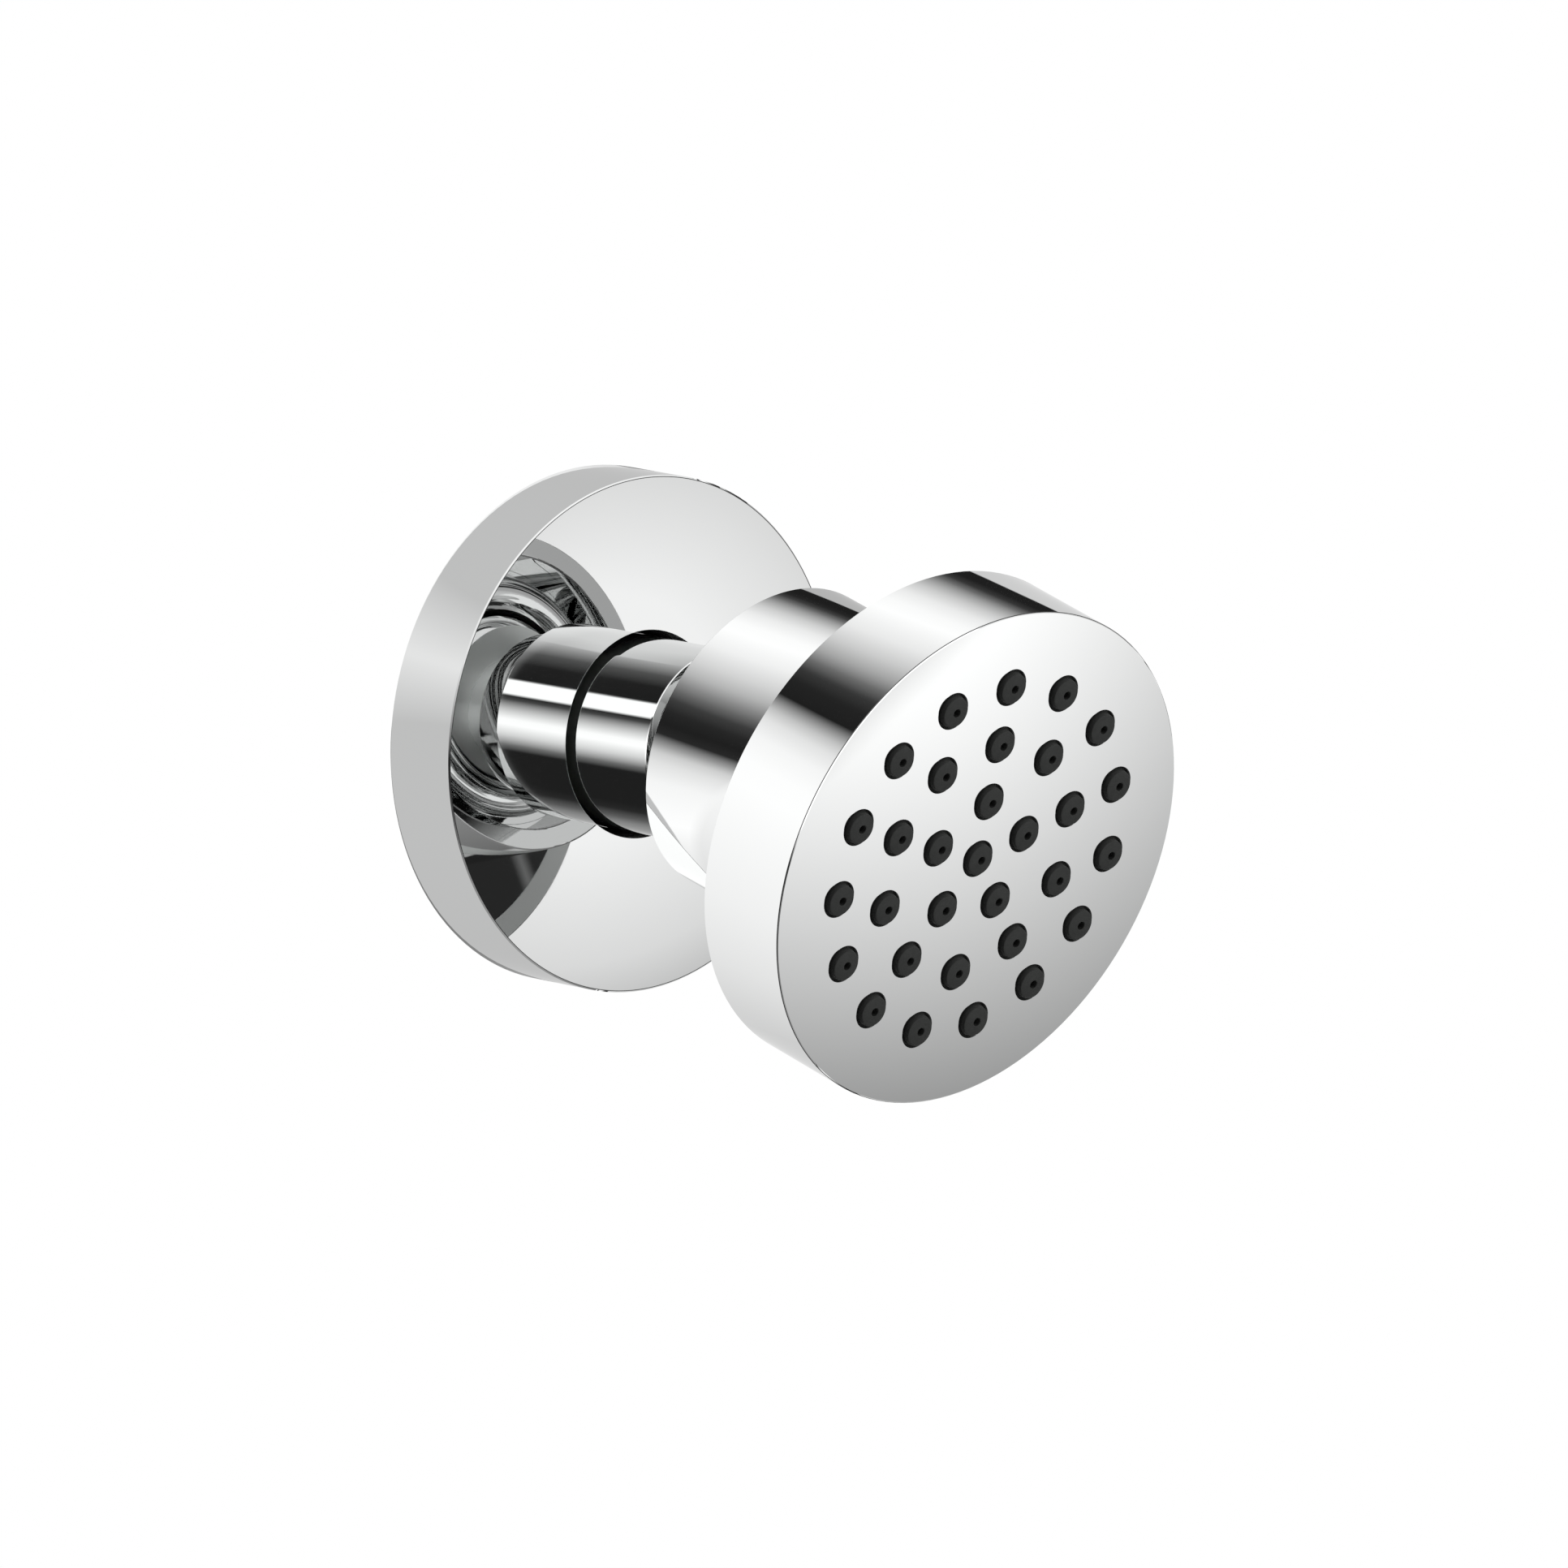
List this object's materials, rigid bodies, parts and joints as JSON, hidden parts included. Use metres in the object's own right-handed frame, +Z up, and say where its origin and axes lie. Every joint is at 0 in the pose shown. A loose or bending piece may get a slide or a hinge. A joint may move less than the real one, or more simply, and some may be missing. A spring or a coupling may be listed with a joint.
{
  "type": "shower body jet",
  "caption": "Wall-mounted shower body jet: a polished rosette and short neck carry a round spray head with soft nozzles on a ball joint, which aims the spray.",
  "frame": {"origin": "centre of the rosette's back, on the wall plane and on the axis of the neck and its pipe thread", "axes": "+Z up the wall, +Y into the wall along the pipe thread, -Y out of the wall the way the spray head faces, +X to the right as seen from the front"},
  "size_m": [0.06, 0.0876, 0.066],
  "materials": {
    "polished_chrome": "mirror-polished chrome on brass",
    "seal_rubber": "black moulded rubber",
    "nozzle_silicone": "dark grey moulded silicone",
    "acetal": "natural white moulding",
    "spring_steel": "stainless sheet"
  },
  "bodies": {
    "wall_unit": {"rosette": "polished_chrome", "rosette_gasket": "seal_rubber", "rosette_oring": "seal_rubber", "neck_body": "polished_chrome", "inlet_oring": "seal_rubber", "strainer_screen": "spring_steel", "flow_limiter": "acetal", "limiter_oring": "seal_rubber", "ball_stem": "polished_chrome", "stem_oring": "seal_rubber"},
    "liner": {"ball_liner": "acetal"},
    "seat": {"seat_rear": "acetal", "seat_front": "acetal"},
    "head": {"disc_spring": "spring_steel", "ball_seal": "seal_rubber", "retaining_nut": "polished_chrome", "head_back": "polished_chrome", "face_oring": "seal_rubber", "distributor_plate": "acetal", "nozzle_mat": "nozzle_silicone", "spray_face": "polished_chrome"}
  },
  "joints": [
    {"name": "head_pan", "type": "hinge", "parent": "wall_unit", "child": "liner", "pos_m": [0, -0.0395, 0], "axis": [0, 0, 1], "range_deg": [-15, 15]},
    {"name": "head_tilt", "type": "hinge", "parent": "liner", "child": "seat", "pos_m": [0, -0.0395, 0], "axis": [-1, 0, 0], "range_deg": [0, 30]},
    {"name": "head_spin", "type": "hinge", "parent": "seat", "child": "head", "pos_m": [0, -0.0395, 0], "axis": [0, -0.9659, -0.2588], "continuous": true}
  ]
}
